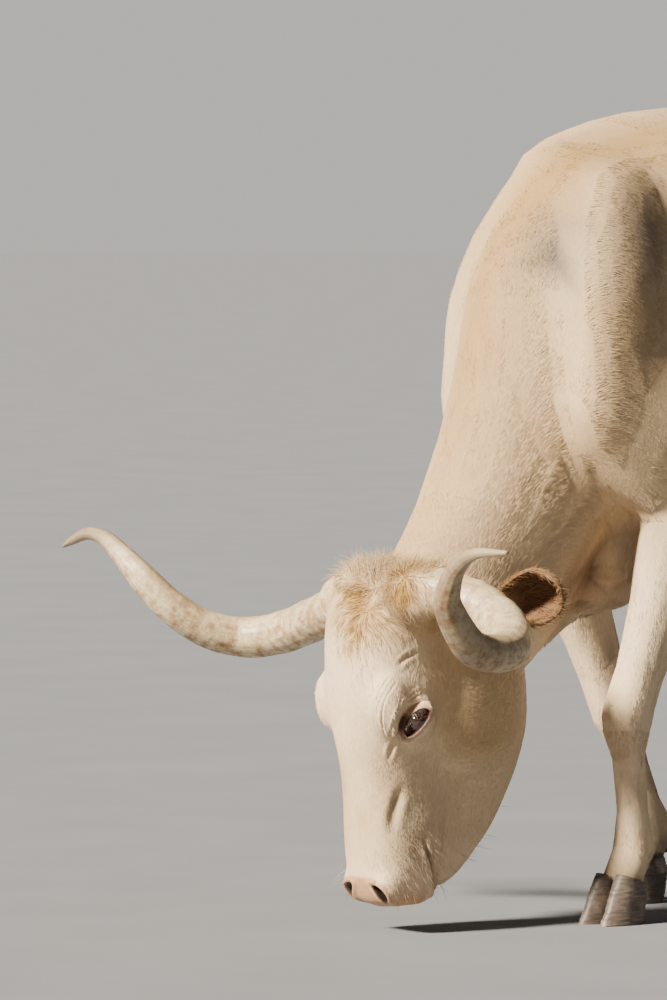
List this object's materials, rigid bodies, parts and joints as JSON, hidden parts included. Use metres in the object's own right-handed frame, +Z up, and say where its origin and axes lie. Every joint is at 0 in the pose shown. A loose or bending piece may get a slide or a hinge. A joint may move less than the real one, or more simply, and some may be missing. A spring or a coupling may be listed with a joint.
{
  "type": "longhorn cow",
  "caption": "Life-size longhorn cow in a grazing pose, head lowered to the ground, with long upswept horns, cloven hooves and a hanging tail, as a still museum model.",
  "frame": {"origin": "on the floor, under the middle of the model's bounding box", "axes": "+Z up; the cow faces -Y, so +Y runs from her muzzle to her tail; +X is her left side"},
  "size_m": [1.3056, 2.0108, 1.3196],
  "materials": {
    "hide": "short cream hair with a tan line along the crest and back",
    "tail_hair": "long coarse cream and tan hair",
    "udder_skin": "bare pink skin",
    "horn": "ivory horn with brown stains and a low sheen",
    "hoof": "dark horn, dull",
    "eye": "wet dark brown"
  },
  "bodies": {
    "root": {"head": "hide", "neck": "hide", "torso": "hide", "ear_left": "hide", "ear_right": "hide", "tail": "hide", "tail_switch": "tail_hair", "udder": "udder_skin", "horn_left": "horn", "horn_right": "horn", "eye_left": "eye", "eye_right": "eye", "leg_upper_fore_left": "hide", "leg_lower_fore_left": "hide", "claw_fore_left_inner": "hoof", "dewclaw_fore_left_inner": "hoof", "claw_fore_left_outer": "hoof", "dewclaw_fore_left_outer": "hoof", "leg_upper_fore_right": "hide", "leg_lower_fore_right": "hide", "claw_fore_right_inner": "hoof", "dewclaw_fore_right_inner": "hoof", "claw_fore_right_outer": "hoof", "dewclaw_fore_right_outer": "hoof", "leg_upper_hind_left": "hide", "leg_lower_hind_left": "hide", "claw_hind_left_inner": "hoof", "dewclaw_hind_left_inner": "hoof", "claw_hind_left_outer": "hoof", "dewclaw_hind_left_outer": "hoof", "leg_upper_hind_right": "hide", "leg_lower_hind_right": "hide", "claw_hind_right_inner": "hoof", "dewclaw_hind_right_inner": "hoof", "claw_hind_right_outer": "hoof", "dewclaw_hind_right_outer": "hoof"}
  },
  "joints": []
}
